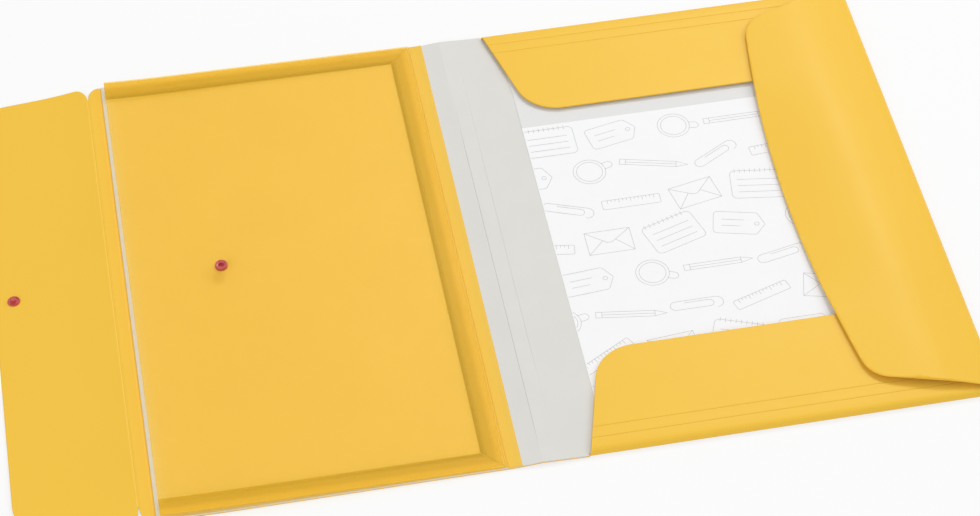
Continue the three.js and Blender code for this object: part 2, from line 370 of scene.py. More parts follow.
def lift(x, y):
    """How far the sheet stands off the table: it springs up a little along the spine and the closure."""
    rising = np.clip((x - cover_score + ridge_run) / ridge_run, 0, 1)
    falling = np.clip((ridge_fall + cover_score - x) / ridge_fall, 0, 1)
    ridge = ridge_height * rising ** ridge_rise_power * falling ** ridge_fall_power
    nearing = np.clip((strip_score + rise_run - x) / rise_run, 0, 1)
    on_strip = np.clip((strip_score - x) / (strip_score - flap_score), 0, 1)
    leaving = np.clip(1 - (flap_score - x) / fold_fall, 0, 1)
    spring = (strip_rise * nearing ** 2 + (fold_rise - strip_rise) * on_strip) * leaving ** 2
    return shell_swell * (1 + swell(x, y, shell_swell_seed, shell_swell_length)) + ridge + spring


def spine_dents(x):
    return groove(x, cover_score) + groove(x, back_score)


def shell_underside(x, y):
    """The shell's outer face, which is towards the table; x runs backwards so that it faces down."""
    return np.column_stack([-x, y, lift(-x, y) + groove_depth * spine_dents(-x)])


def shell_gauge(x, y):
    """The shell's thickness, which both faces' grooves thin at a score."""
    return shell_thickness - 2 * groove_depth * spine_dents(-x)


def back_outline(step_gap):
    """The back cover's outline, with x running backwards: full height at the spine, narrower at the flaps."""
    step = flap_end - step_gap
    near, far = bottom_wall + fold_run, top_wall - fold_run
    right = side_wall - fold_run
    points = [
        (spine_middle, bottom), (step, bottom), (step, near), (right, near),
        (right, far), (step, far), (step, top), (spine_middle, top),
    ]
    return [(-x, y) for x, y in reversed(points)]


panel_rows = stations(bottom, top, panel_step)
flap_rows = stations(bottom, top, flap_step)


def at_spine_middle(x, y):
    return near(-x, spine_middle)


def make_back_shell():
    columns = stations(-side_wall, -spine_middle, panel_step, (-cover_score, -back_score))
    piece = make_sheet(
        "back_shell", [back_outline(shell_step_gap)], shell_underside, shell_gauge,
        columns, panel_rows, shell_finish, at_spine_middle)
    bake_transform(piece)
    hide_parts("back_panel", "spine_panel")


make_back_shell()

# The front cover is the same sheet on the other side of the spine, with the spine's other
# half. A score joins it to the spine, and the sheet, thinned there, bends along it as a
# living hinge.
seam_under_lining = strip_score + 3 * mm


def make_front_shell():
    columns = stations(-spine_middle, -seam_under_lining, panel_step, (-cover_score,))
    outline = rectangle(-spine_middle, bottom, -seam_under_lining, top)
    piece = make_sheet(
        "front_shell", [outline], shell_underside, shell_gauge, columns, panel_rows, shell_finish,
        lambda x, y: at_spine_middle(x, y) | near(-x, seam_under_lining))
    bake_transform(piece)
    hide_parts("front_panel")


make_front_shell()

# The lining is a light grey laminate bonded to the inside of both covers and the spine.
# The two spine scores are pressed through it and fade out towards the ends, and painted shade darkens them.
lining_thickness = 0.4 * mm
lining_light = "E0DED9"
lining_dark = "DAD8D3"
# Painted shade in the spine score lines.
lining_score_shade = "8E8C88"
lining_groove = 0.16 * mm
lining_half_width = 0.25 * mm
score_clear = 12 * mm
score_fade = 65 * mm
score_fade_power = 1.5
lining_step_gap = 0.4 * mm
lining_low, lining_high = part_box("front_lining")
lining_top = lining_high[2]
# Each score, how much painted shade darkens it, and the lengths it fades between: two from the bottom edge
# and two from the top edge.
spine_scores = (
    (cover_score, 0.6, (8 * mm, 30 * mm, 100 * mm, 55 * mm)),
    (back_score, 0.25, (55 * mm, 90 * mm, 120 * mm, 80 * mm)),
)


def feed(sockets, sources):
    """Gives each socket a number or another node's output."""
    for socket, source in zip(sockets, sources):
        if isinstance(source, (int, float)):
            socket.default_value = source
        else:
            join(source, socket)


def calculate(nodes, operation, *terms):
    """One step of shader maths with numbers or other nodes' outputs."""
    node = nodes.new("ShaderNodeMath")
    node.operation = operation
    feed(node.inputs, terms)
    return node.outputs["Value"]


def ramp(nodes, value, start, end, low, high):
    """A smooth step from low to high while the value goes from start to end."""
    spread = nodes.new("ShaderNodeMapRange")
    spread.interpolation_type = "SMOOTHSTEP"
    for socket, number in (("From Min", start), ("From Max", end), ("To Min", low), ("To Max", high)):
        spread.inputs[socket].default_value = number
    join(value, spread.inputs["Value"])
    return spread.outputs["Result"]


def place_on_piece(nodes):
    """The x and y of the shaded point, fixed to the piece."""
    place = nodes.new("ShaderNodeTexCoord")
    split = nodes.new("ShaderNodeSeparateXYZ")
    join(place.outputs["Object"], split.inputs["Vector"])
    return split.outputs["X"], split.outputs["Y"]


def blend_colour(nodes, surface, factor, below, code):
    """Turns the colour of the node below into another one where the factor is 1."""
    mix = nodes.new("ShaderNodeMix")
    mix.data_type = "RGBA"
    mix.inputs["B"].default_value = screen_colour(code)
    join(factor, mix.inputs["Factor"])
    join(below.outputs["Result"], mix.inputs["A"])
    join(mix.outputs["Result"], surface["Base Color"])


def make_lining_finish():
    """Grey, with painted shade darkening the spine scores, which fades out towards their ends."""
    finish, nodes, surface, even = make_finish(
        "lining_grey_laminate", (lining_light, lining_dark), scales=(22, 140, 2600),
        roughness=(0.52, 0.66), grain=0.02 * mm, detail=3.0, specular=0.25)
    reach, along = place_on_piece(nodes)
    shares = []
    for score, darkening, (low_clear, low_full, high_full, high_clear) in spine_scores:
        aside = calculate(nodes, "ABSOLUTE", calculate(nodes, "SUBTRACT", reach, score))
        on_score = ramp(nodes, aside, 0, lining_half_width, darkening, 0)
        from_bottom = ramp(nodes, along, bottom + low_clear, bottom + low_full, 0, 1)
        from_top = ramp(nodes, along, top - high_full, top - high_clear, 1, 0)
        ends = calculate(nodes, "MULTIPLY", from_bottom, from_top)
        shares.append(calculate(nodes, "MULTIPLY", on_score, ends))
    share = calculate(nodes, "MAXIMUM", *shares)
    blend_colour(nodes, surface, share, even, lining_score_shade)
    return finish


lining_finish = make_lining_finish()


def lining_face(x, y):
    """The lining's inner face, with two scores that are at their full depth between their ends."""
    dents = groove(x, cover_score, lining_half_width) + groove(x, back_score, lining_half_width)
    reach = np.minimum(y - bottom, top - y)
    fading = np.clip((reach - score_clear) / (score_fade - score_clear), 0, 1) ** score_fade_power
    return np.column_stack([x, y, lining_top + lift(x, y) - lining_groove * dents * fading])


def lining_seam(x, y):
    return near(x, spine_middle)


def make_front_lining():
    left = lining_low[0]
    columns = stations(left, spine_middle, panel_step, (cover_score,))
    piece = make_sheet(
        "front_cover_lining", [rectangle(left, bottom, spine_middle, top)], lining_face, lining_thickness,
        columns, panel_rows, lining_finish, lining_seam)
    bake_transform(piece)
    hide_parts("front_lining")


def make_back_lining():
    columns = stations(spine_middle, side_wall, panel_step, (back_score,))
    outline = [(-x, y) for x, y in reversed(back_outline(lining_step_gap))]
    piece = make_sheet(
        "back_cover_lining", [outline], lining_face, lining_thickness,
        columns, panel_rows, lining_finish, lining_seam)
    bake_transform(piece)
    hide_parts("back_lining", "spine_lining")


make_front_lining()
make_back_lining()

# The closure is the unlined end of the shell: a narrow strip that turns up beside the
# pocket's mouth, and a flap that folds over it. Rounded corners leave a notch at each
# end of the score between them, and the flap's outer corners curl a little off the table.
strip_middle = (strip_score + flap_score) / 2
closure_edge = closure_low[0]
middle = (bottom + top) / 2
closure_taper = 7 * mm
notch_width = 7.5 * mm
notch_depth = 11 * mm
tip_radius = 18 * mm
notch_floor_angle = 175
notch_top_angle = 84
flap_start_angle = 5
strip_start_angle = 90
strip_step = 1 * mm
closure_curl = 1.8 * mm
curl_power = 1.5
curl_corner_power = 3
stud_hole = 1.05 * mm
stud_low, stud_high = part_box("snap_stud")
stud_centre = ((stud_low[0] + stud_high[0]) / 2, (stud_low[1] + stud_high[1]) / 2)


def rounded(corners, steps=10):
    """An outline whose corners, given as (x, y, radius), are rounded by arcs."""
    points = []
    for i, (x, y, radius) in enumerate(corners):
        if radius == 0:
            points.append((x, y))
            continue
        here = Vector((x, y))
        back = (Vector(corners[i - 1][:2]) - here).normalized()
        on = (Vector(corners[(i + 1) % len(corners)][:2]) - here).normalized()
        half = back.angle(on) / 2
        centre = here + (back + on).normalized() * (radius / math.sin(half))
        start = here + back * (radius / math.tan(half)) - centre
        turn = (math.pi - 2 * half) * (1 if on.x * back.y - on.y * back.x > 0 else -1)
        for k in range(steps + 1):
            points.append(tuple(centre + Matrix.Rotation(turn * k / steps, 2) @ start))
    return points


def mirrored(points):
    """The points of a folder's upper half, turned over to its lower half, in the order of one outline."""
    return [(x, 2 * middle - y) for x, y in reversed(points)]


def closure_dents(x):
    return groove(x, strip_score) + groove(x, flap_score)


def closure_face(x, y):
    away = np.clip((flap_score - x) / (flap_score - closure_edge), 0, 1)
    towards_end = np.abs(y - middle) / (top - middle)
    curl = closure_curl * away ** curl_power * towards_end ** curl_corner_power
    height = shell_thickness + lift(x, y) + curl - groove_depth * closure_dents(x)
    return np.column_stack([x, y, height])


def closure_gauge(x, y):
    return shell_thickness - groove_depth * closure_dents(x)


def notch_side(side, start, end):
    """One rounded side of the upper notch, between two angles: 1 is the strip's and -1 the flap's."""
    corner = arc((0, 0), 1, start, end)
    return [(flap_score + notch_width * (side + x), top - notch_depth * (1 - y)) for x, y in corner]


seam_angle = math.degrees(math.acos((strip_middle - flap_score - notch_width) / notch_width))


def closure_seam(x, y):
    return near(x, strip_middle) | near(x, seam_under_lining)


def make_closure_strip():
    right = seam_under_lining
    columns = stations(strip_middle, right, strip_step, (strip_score,))
    upper = [(right, top), *notch_side(1, strip_start_angle, seam_angle)]
    piece = make_sheet(
        "closure_strip_sheet", [upper + mirrored(upper)], closure_face, closure_gauge,
        columns, panel_rows, shell_finish, closure_seam)
    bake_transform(piece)
    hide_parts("closure_strip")


def make_closure_flap():
    """From the middle of the strip to the free edge, with the notches at both ends of its score."""
    flap = notch_side(-1, flap_start_angle, notch_top_angle)
    tip = rounded([
        (*flap[-1], 0), (closure_edge, top - closure_taper, tip_radius), (closure_edge, middle, 0)])
    upper = notch_side(1, seam_angle, notch_floor_angle) + flap + tip[1:-1]
    hole = arc(stud_centre, stud_hole, 360, 0, steps=20)[:-1]
    columns = stations(closure_edge, strip_middle, flap_step, (flap_score,))
    piece = make_sheet(
        "closure_flap_sheet", [upper + mirrored(upper), hole], closure_face, closure_gauge,
        columns, flap_rows, shell_finish, closure_seam)
    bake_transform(piece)
    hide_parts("closure_flap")


make_closure_strip()
make_closure_flap()

# The press stud is moulded in red acetal: a cap riveted through the closure flap into the
# stud, and an eyelet riveted through the film into the socket ring. Each is a turned form
# with rounded edges, a dished face, and the gloss and fine scuffs of moulded plastic.
snap_light = "C9504F"
snap_dark = "BC4444"
socket_low, socket_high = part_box("snap_socket")
socket_centre = ((socket_low[0] + socket_high[0]) / 2, (socket_low[1] + socket_high[1]) / 2)
snap_radius = (socket_high[0] - socket_low[0]) / 2
snap_bore = 1.65 * mm
snap_round = 0.16
side_per_round = 2.2
snap_turns = 72
snap_finish = make_finish(
    "snap_red_acetal", (snap_light, snap_dark), scales=(350, 900, 4000), roughness=(0.24, 0.36),
    grain=0.01 * mm)[0]


def softened(profile, steps=4):
    """The profile, of (radius, height) corners, with a small round at each but the two on the axis."""
    points = [profile[0]]
    for before, here, after in zip(profile, profile[1:], profile[2:]):
        here = Vector(here)
        back, on = Vector(before) - here, Vector(after) - here
        reach = min(snap_round, back.length / side_per_round, on.length / side_per_round)
        start, end = here + back.normalized() * reach, here + on.normalized() * reach
        for k in range(steps + 1):
            t = k / steps
            points.append(tuple(start * (1 - t) ** 2 + here * 2 * t * (1 - t) + end * t ** 2))
    return points + [profile[-1]]


def make_snap_part(name, node, body, profile, centre):
    """A turned part from (radius, height above the table) corners in millimetres, from axis to axis."""
    points = softened(profile)
    verts = [(*centre, points[0][1] * mm)]
    for radius, height in points[1:-1]:
        for k in range(snap_turns):
            angle, reach = 2 * math.pi * k / snap_turns, radius * mm
            verts.append((
                centre[0] + reach * math.cos(angle), centre[1] + reach * math.sin(angle), height * mm))
    verts.append((*centre, points[-1][1] * mm))
    rings = len(points) - 2
    faces = []
    for k in range(snap_turns):
        j = (k + 1) % snap_turns
        faces.append((0, 1 + j, 1 + k))
        for ring in range(rings - 1):
            low, high = 1 + ring * snap_turns, 1 + (ring + 1) * snap_turns
            faces.append((low + k, low + j, high + j, high + k))
        last = 1 + (rings - 1) * snap_turns
        faces.append((last + k, last + j, len(verts) - 1))
    piece = new_piece(name, verts, faces, snap_finish, sharp=60)
    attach(piece, body)
    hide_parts(node)


def make_press_stud():
    """Its four parts; wide is the radius of all of them, and each other number a radius or a height."""
    face, film_top = stud_low[2] / mm, socket_low[2] / mm
    under_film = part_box("snap_eyelet")[0][2] / mm
    wide, bore = snap_radius / mm, snap_bore / mm
    make_snap_part("snap_cap_head", "snap_cap", "closure_flap", [
        (0, 0.06), (0.9, 0.06), (1.2, 0), (wide - 0.3, 0), (wide, 0.2), (wide, 0.4),
        (0.7, 0.4), (0.7, 3.2), (0, 3.2),
    ], stud_centre)
    make_snap_part("snap_stud_post", "snap_stud", "closure_flap", [
        (0, face + 0.02), (wide, face), (wide, face + 0.7), (wide - 0.55, face + 0.7),
        (wide - 0.85, face + 0.38), (1.5, face + 0.38), (1.42, face + 1.2), (1.6, face + 1.75),
        (1.35, face + 2.6), (0.7, face + 2.6), (0.55, face + 2.45), (0, face + 2.45),
    ], stud_centre)
    make_snap_part("snap_socket_ring", "snap_socket", "front_cover", [
        (0, film_top - 0.3), (bore, film_top - 0.3), (bore, film_top + 1.05),
        (bore + 0.25, film_top + 1.2), (wide - 0.9, film_top + 1.28),
        (wide - 0.65, film_top + 1.6), (wide - 0.3, film_top + 1.6),
        (wide, film_top + 1.2), (wide, film_top + 0.01), (2.35, film_top + 0.01),
        (2.35, film_top - 0.38), (0, film_top - 0.38),
    ][::-1], socket_centre)
    make_snap_part("snap_eyelet_base", "snap_eyelet", "front_cover", [
        (0, under_film + 0.04), (1.3, under_film + 0.04), (1.6, under_film), (wide - 0.2, under_film),
        (wide, under_film + 0.28), (0, under_film + 0.28),
    ], socket_centre)


make_press_stud()

# The pocket is frosted yellow film: a front sheet, pleated bellows along the top, bottom
# and spine side that let it swell, and a flange welded to the lining. It is open at the
# closure, stands highest there, and is drawn down at the spine.
film_thickness = 0.4 * mm
bellows_thickness = 0.25 * mm
film_light = "FFD23C"
film_dark = "FDCE36"
film_tint = "FFF7D6"
film_share = 0.72
# The pleats are a darker olive than the front film, which is painted shade of the layered bellows seen
# through it.
shaded_pleat_light = "C0B078"
shaded_pleat_dark = "B9A970"
pleat_share = 0.4
fold_share = 0.92
lip_yellow = "DDCF9C"
flange_light = "F2CB4A"
flange_dark = "EFC746"
flange_share = 0.3
film_low, film_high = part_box("pocket_film")
mouth_height = 4.2 * mm
spine_side_height = 1.3 * mm
swell_at_mouth = 0.08
swell_across_power, swell_along_power = 0.9, 0.6
film_ripple = 0.25 * mm
ripple_seed, ripple_length = 21, 0.13
ripple_growth = 4
calm_at_socket = 20 * mm
socket_hole = 2.5 * mm
weld_groove = 0.05 * mm
weld_inset = 1.6 * mm
contact = 0.02 * mm
pleat_low, pleat_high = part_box("pocket_bellows_bottom")
pleat_depth = pleat_high[1] - pleat_low[1]
pleat_radius = 0.7 * mm
pleat_lip = 3 * mm
pleat_end_gap = 0.3 * mm
pleat_step = 1.6 * mm
pleat_fold_spread = 0.3 * mm
pleat_length_step = 6 * mm
lip_fade = 4 * mm
fold_fade = 4.5 * mm
flange_step = 2 * mm


def mix_shaders(nodes, share, first, second):
    """The first shader where the share is 0, and the second where it is 1."""
    mix = nodes.new("ShaderNodeMixShader")
    feed(mix.inputs, (share, first, second))
    return mix.outputs["Shader"]


def make_film_finish(name, light, dark, see_through, folded=False):
    """Frosted film. A share can be seen through each of its two faces, and tinted lamp light passes.
    On folded film the welded lips are as yellow as the front, and the inner fold blurs away."""
    finish, nodes, surface, even = make_finish(
        name, (light, dark), scales=(12, 70, 1300), roughness=(0.38, 0.44), grain=0.025 * mm, specular=0.3)
    tinted = nodes.new("ShaderNodeBsdfTransparent")
    tinted.inputs["Color"].default_value = screen_colour(film_tint)
    if folded:
        across, along = place_on_piece(nodes)
        from_spine = calculate(nodes, "SUBTRACT", film_high[0], across)
        from_end = calculate(
            nodes, "SUBTRACT", (top - bottom) / 2, calculate(nodes, "ABSOLUTE", along))
        reach = calculate(nodes, "MINIMUM", from_spine, from_end)
        on_lip = ramp(nodes, reach, pleat_lip, pleat_lip + lip_fade, 1, 0)
        blend_colour(nodes, surface, on_lip, even, lip_yellow)
        see_through = ramp(
            nodes, reach, pleat_depth - fold_fade, pleat_depth, see_through, fold_share)
    solid = nodes["Principled BSDF"].outputs["BSDF"]
    frosted = mix_shaders(nodes, see_through, solid, tinted.outputs["BSDF"])
    path = nodes.new("ShaderNodeLightPath")
    lit = mix_shaders(nodes, path.outputs["Is Shadow Ray"], frosted, tinted.outputs["BSDF"])
    join(lit, nodes["Material Output"].inputs["Surface"])
    return finish


film_finish = make_film_finish("pocket_film_frosted", film_light, film_dark, film_share)
# The pleated film's darker colours are painted shade. Only its lips, where they are seen directly, turn
# yellow.
shaded_pleat_finish = make_film_finish("pocket_film_pleated_shaded", shaded_pleat_light, shaded_pleat_dark, pleat_share, folded=True)
flange_finish = make_film_finish("pocket_film_welded", flange_light, flange_dark, flange_share)


def across_film(x):
    """0 at the pocket's mouth and 1 at its spine side."""
    return np.clip((x - film_low[0]) / (film_high[0] - film_low[0]), 0, 1)


def film_edge_height(x):
    """Top of the film above the lining, along its top and bottom edges."""
    return mouth_height + (spine_side_height - mouth_height) * across_film(x)


def film_swell(x, y):
    """The share of the film's full swell, which is at its middle; none is left at three of its edges."""
    along = np.clip((y - bottom) / (top - bottom), 0, 1)
    hump = np.sin(np.pi * (swell_at_mouth + (1 - swell_at_mouth) * across_film(x)))
    return hump ** swell_across_power * np.sin(np.pi * along) ** swell_along_power


film_at_socket = film_high[2] - lining_top - film_edge_height(socket_centre[0]) - lift(*socket_centre)
film_crown = film_at_socket / film_swell(*socket_centre)


def film_face(x, y):
    end_welds = groove(y, bottom + weld_inset) + groove(y, top - weld_inset)
    welds = end_welds + groove(x, film_high[0] - weld_inset)
    from_socket = (x - socket_centre[0]) ** 2 + (y - socket_centre[1]) ** 2
    swelling = film_swell(x, y)
    ripple = film_ripple * swell(x, y, ripple_seed, ripple_length)
    ripple *= np.clip(ripple_growth * swelling, 0, 1) * (1 - np.exp(-from_socket / calm_at_socket ** 2))
    height = film_edge_height(x) + film_crown * swelling + ripple + lift(x, y) - weld_groove * welds
    return np.column_stack([x, y, lining_top + height])


def make_film():
    columns = stations(film_low[0], film_high[0], flap_step, (film_high[0] - weld_inset,))
    rows = stations(bottom, top, flap_step, (bottom + weld_inset, top - weld_inset))
    hole = arc(socket_centre, socket_hole, 360, 0, steps=24)[:-1]
    outline = rectangle(film_low[0], bottom, film_high[0], top)
    piece = make_sheet(
        "pocket_front_film", [outline, hole], film_face, film_thickness, columns, rows, film_finish)
    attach(piece, "front_cover")
    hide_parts("pocket_film")


def make_bellows(name, node, edge, along, inward, start, end):
    """A pleat folded inward between two welded lips. edge is a point of the pocket's edge, and start
    and end give the run's ends, in metres from that point, at each depth."""
    reach = pleat_depth
    edge, along, inward = (np.array(v, float) for v in (edge, along, inward))

    def depth(s):
        return reach + pleat_radius - np.sqrt((s - reach) ** 2 + pleat_radius ** 2)

    def face(u, s):
        ground = edge + u[:, None] * along + np.clip(depth(s), 0, None)[:, None] * inward
        room = film_edge_height(ground[:, 0]) - film_thickness - 2 * bellows_thickness - 2 * contact
        share = np.clip((s - pleat_lip) / (2 * reach - 2 * pleat_lip), 0, 1)
        height = lining_top + lift(ground[:, 0], ground[:, 1]) + bellows_thickness + contact + room * share
        return np.column_stack([ground, height])

    rows = stations(0, 2 * reach, pleat_step, (reach,), pleat_fold_spread)
    outline = [(end(depth(s)), s) for s in rows] + [(start(depth(s)), s) for s in reversed(rows)]
    columns = stations(min(u for u, _ in outline), max(u for u, _ in outline), pleat_length_step)
    piece = make_sheet(name, [outline], face, bellows_thickness, columns, rows, shaded_pleat_finish)
    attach(piece, "front_cover")
    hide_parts(node)


def make_all_bellows():
    left, right, gap = film_low[0], film_high[0], pleat_end_gap
    width, height = right - left, top - bottom
    make_bellows(
        "bottom_bellows", "pocket_bellows_bottom", (left, bottom), (1, 0), (0, 1),
        lambda d: 0, lambda d: width - d - gap)
    make_bellows(
        "top_bellows", "pocket_bellows_top", (left, top), (-1, 0), (0, -1),
        lambda d: d + gap - width, lambda d: 0)
    make_bellows(
        "spine_side_bellows", "pocket_bellows_spine", (right, bottom), (0, 1), (-1, 0),
        lambda d: d + gap, lambda d: height - d - gap)


def make_flange():
    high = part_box("pocket_flange")[1]
    left, right = film_high[0] + contact, high[0]

    def face(x, y):
        return np.column_stack([x, y, high[2] + lift(x, y) + contact])

    columns = stations(left, right, flange_step)
    outline = rectangle(left, bottom, right, top)
    piece = make_sheet(
        "pocket_weld_flange", [outline], face, film_thickness, columns, panel_rows, flange_finish)
    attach(piece, "front_cover")
    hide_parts("pocket_flange")


make_film()
make_all_bellows()
make_flange()

# The two end flaps are the same sheet, folded in from the top and bottom of the back cover.
# Each rises from a tight corner in a soft roll, with two capacity scores pressed along it
# beside the fold, and droops a little to its free edge.
end_flap_depth = 70 * mm
end_flap_slope = math.tan(math.radians(15))
end_flap_radius = 25 * mm
end_roll_run = 3.4 * mm
end_roll_rise = 3.1 * mm
free_edge_height = 3.8 * mm
droop_share = 0.3
capacity_scores = (9.4 * mm, 16.8 * mm)
capacity_half_width = 0.22 * mm
capacity_groove = 0.1 * mm
# Painted shade in the capacity score lines.
yellow_score_shade = "B98A2C"
capacity_darkening = 0.6
mitre_gap = 2 * mm
corner_gap = 0.3 * mm
mitre_radius = 5 * mm
roll_length = 5 * mm
roll_step = 0.6 * mm
end_wave = 0.15 * mm
end_wave_seed, end_wave_length = 31, 0.2
end_wave_rise = 20 * mm


def make_scored_finish():
    """The shell's finish, with painted shade darkening the capacity scores, which lie alike at both ends."""
    finish, nodes, surface, even = make_shell_finish("shell_yellow_scored")
    _, along = place_on_piece(nodes)
    reach = calculate(nodes, "SUBTRACT", top_wall, calculate(nodes, "ABSOLUTE", along))
    for offset in (sum(capacity_scores) / 2, (capacity_scores[1] - capacity_scores[0]) / 2):
        reach = calculate(nodes, "ABSOLUTE", calculate(nodes, "SUBTRACT", reach, offset))
    on_score = ramp(nodes, reach, 0, capacity_half_width, capacity_darkening, 0)
    blend_colour(nodes, surface, on_score, even, yellow_score_shade)
    return finish


scored_finish = make_scored_finish()


def end_flap_height(depth):
    """Outer face of an end flap above the table, at a depth inward from the fold's outside."""
    share = np.clip((depth - end_roll_run) / (end_flap_depth - end_roll_run), 0, 1)
    crest = fold_height + end_roll_rise
    slump = 1 / (1 + (share / droop_share) ** 2)
    return free_edge_height + (crest - free_edge_height) * slump


def lower_corner(s, place_at):
    """Depth and height of a fold's tight lower corner, at each length s up its sheet."""
    turn = s / roll_length * np.pi / 2
    depth = fold_run * (1 - np.sin(turn))
    return depth, fold_height * (1 - np.cos(turn)) + lift(*place_at(depth)) * (1 - s / roll_length)


def at_roll_ends(u, s):
    return near(s, 0) | near(s, roll_length)


def make_end_flap(name, wall, inward):
    """A fold and its flap. wall is the outside of the fold, and inward is 1 or -1 along y."""
    def on_sheet(u, depth, height):
        return np.column_stack([inward * u, wall + inward * depth, height])

    def lower_face(u, s):
        return on_sheet(u, *lower_corner(s, lambda depth: (inward * u, wall + inward * depth)))

    def upper_face(u, s):
        turn = (np.clip(s / roll_length, -1, 0) + 1) * np.pi / 2
        depth = end_roll_run * (1 - np.cos(turn)) + np.clip(s, 0, None)
        height = np.where(s < 0, fold_height + end_roll_rise * np.sin(turn), end_flap_height(depth))
        waves = end_wave * swell(inward * u, depth, end_wave_seed + inward, end_wave_length)
        waves *= np.clip(s / end_wave_rise, 0, 1)
        dents = sum(groove(depth, line, capacity_half_width) for line in capacity_scores)
        return on_sheet(u, depth, height + waves - capacity_groove * dents)

    def outline_of(points):
        return points if inward > 0 else [(-u, s) for u, s in reversed(points)]

    right = side_wall
    columns = stations(*sorted((inward * flap_end, inward * right)), flap_step)
    rows = stations(0, roll_length, roll_step)
    outline = outline_of([
        (flap_end, 0), (right - fold_run - corner_gap, 0), (right - mitre_gap, roll_length),
        (flap_end, roll_length)])
    roll = make_sheet(
        f"{name}_fold_roll", [outline], lower_face, shell_thickness, columns, rows, shell_finish,
        at_roll_ends)
    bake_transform(roll)
    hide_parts(f"{name}_fold_strip")

    run = end_flap_depth - end_roll_run
    corners = [
        (flap_end, -roll_length, 0), (right - mitre_gap, -roll_length, 0),
        (right - mitre_gap - end_flap_depth, run, mitre_radius),
        (flap_end + end_flap_slope * end_flap_depth, run, end_flap_radius),
    ]
    lines = [line - end_roll_run for line in capacity_scores]
    rows = np.unique(np.concatenate([
        stations(-roll_length, 0, roll_step), stations(0, run, flap_step, lines, capacity_half_width)]))
    flap = make_sheet(
        f"{name}_flap_sheet", [outline_of(rounded(corners))], upper_face, shell_thickness, columns, rows,
        scored_finish, lambda u, s: near(s, -roll_length))
    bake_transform(flap)
    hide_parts(f"{name}_flap")


make_end_flap("bottom", bottom_wall, 1)
make_end_flap("top", top_wall, -1)

# The side flap is the same sheet and folds in last, over the ends of the other two. It isn't
# pressed flat, so it stands up in a long soft crown and sags from there to the middle of its
# bowed free edge, whose corners are swept.
side_end_inset = 1.5 * mm
side_end_slope = math.tan(math.radians(16))
side_bow_radius = 880 * mm
side_corner = 34 * mm
crown_depth = 35 * mm
crown_height = 8.9 * mm
crown_slope = 0.12
crown_softness = 0.9 * mm
shoulder_run = 7 * mm
side_edge_height = 4.8 * mm
side_sag = 2.0 * mm
side_sag_reach = 95 * mm
side_sag_power = 4
side_wave = 0.2 * mm
side_wave_seed, side_wave_length = 41, 0.24
side_wave_rise = 30 * mm
side_wave_start = 0.2
side_rim = 0.36 * mm
side_seam = 1.8 * mm
past_seam = 1.01
side_roll_step = 0.5 * mm
side_seam_step = 1 * mm
side_seam_steps_end = 6 * mm
side_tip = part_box("side_flap")[0][0]
side_start = side_wall - side_seam


def side_flap_height(depth):
    """Outer face of the side flap above the table, at a depth inward from the fold's outside."""
    fall = (crown_height - side_edge_height) / (side_wall - side_tip - crown_depth)
    up = crown_height + crown_slope * (depth - crown_depth)
    down = crown_height - fall * (depth - crown_depth)
    bend = (up + down) / 2 - np.hypot((up - down) / 2, crown_softness) + crown_softness
    shoulder = np.sqrt(1 - (1 - np.clip(depth / shoulder_run, 0, 1)) ** 2)
    return fold_height + (bend - fold_height) * shoulder


def side_flap_half():
    """The upper half of its outline, from the fold to the middle of the free edge."""
    centre_x = side_tip + side_bow_radius
    reach = math.asin((top - middle - side_corner) / side_bow_radius)
    bow = arc((centre_x, middle), side_bow_radius, 180 - math.degrees(reach), 180, steps=16)
    bow_end = Vector(bow[0])

    def end_line(x):
        return top - side_end_inset - (side_wall - x) * side_end_slope

    run = math.tan(reach)
    corner_x = bow_end.x + (end_line(bow_end.x) - bow_end.y) * run / (1 - side_end_slope * run)
    corner = Vector((corner_x, end_line(corner_x)))
    back = Vector((1, side_end_slope)).normalized() * (corner - bow_end).length
    sweep, steps = [], 10
    for t in np.arange(steps) / steps:
        point = (corner + back) * (1 - t) ** 2 + corner * 2 * t * (1 - t) + bow_end * t ** 2
        sweep.append(tuple(point))
    return [(side_start, end_line(side_start)), *sweep, *bow[:-1]]


def make_side_flap():
    """The lower half of its fold, the upper half, and the flap."""
    def lower_face(y, s):
        depth, height = lower_corner(s, lambda depth: (side_wall - depth, y))
        return np.column_stack([side_wall - depth, y, height])

    def roll_face(y, s):
        depth = side_seam * np.clip(s / roll_length, 0, past_seam) ** 2
        return np.column_stack([side_wall - depth, y, side_flap_height(depth)])

    def flap_face(x, y):
        depth = side_wall - x
        waves = side_wave * swell(x, y, side_wave_seed, side_wave_length)
        waves *= np.clip(depth / side_wave_rise - side_wave_start, 0, 1)
        outer = np.clip((depth - crown_depth) / (side_wall - side_tip - crown_depth), 0, 1)
        between = 1 - np.clip((y - middle) / side_sag_reach, -1, 1) ** side_sag_power
        return np.column_stack([x, y, side_flap_height(depth) + waves - side_sag * outer * between])

    low, high = bottom + side_end_inset, top - side_end_inset
    along = stations(low, high, panel_step)
    around = stations(0, roll_length, side_roll_step)
    cut = fold_run + corner_gap
    outline = [(bottom_wall + cut, 0), (top_wall - cut, 0), (high, roll_length), (low, roll_length)]
    lower = make_sheet(
        "side_fold_roll", [outline], lower_face, shell_thickness, along, around, shell_finish,
        at_roll_ends)
    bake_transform(lower)
    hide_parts("side_fold_strip")
    upper = make_sheet(
        "side_fold_shoulder", [rectangle(low, 0, high, roll_length)], roll_face, shell_thickness,
        along, around, shell_finish, at_roll_ends)
    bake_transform(upper)
    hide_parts("side_fold_strip")

    half = side_flap_half()
    shape = half + [(side_tip, middle)] + mirrored(half)
    finer_from = side_start - side_seam_steps_end
    columns = np.unique(np.concatenate([
        stations(side_tip, finer_from, flap_step), stations(finer_from, side_start, side_seam_step)]))
    flap = make_sheet(
        "side_flap_sheet", [shape], flap_face, shell_thickness, columns, flap_rows, shell_finish,
        lambda x, y: near(x, side_start), side_rim)
    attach(flap, "side_flap")
    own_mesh(flap)
    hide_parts("side_flap")


make_side_flap()

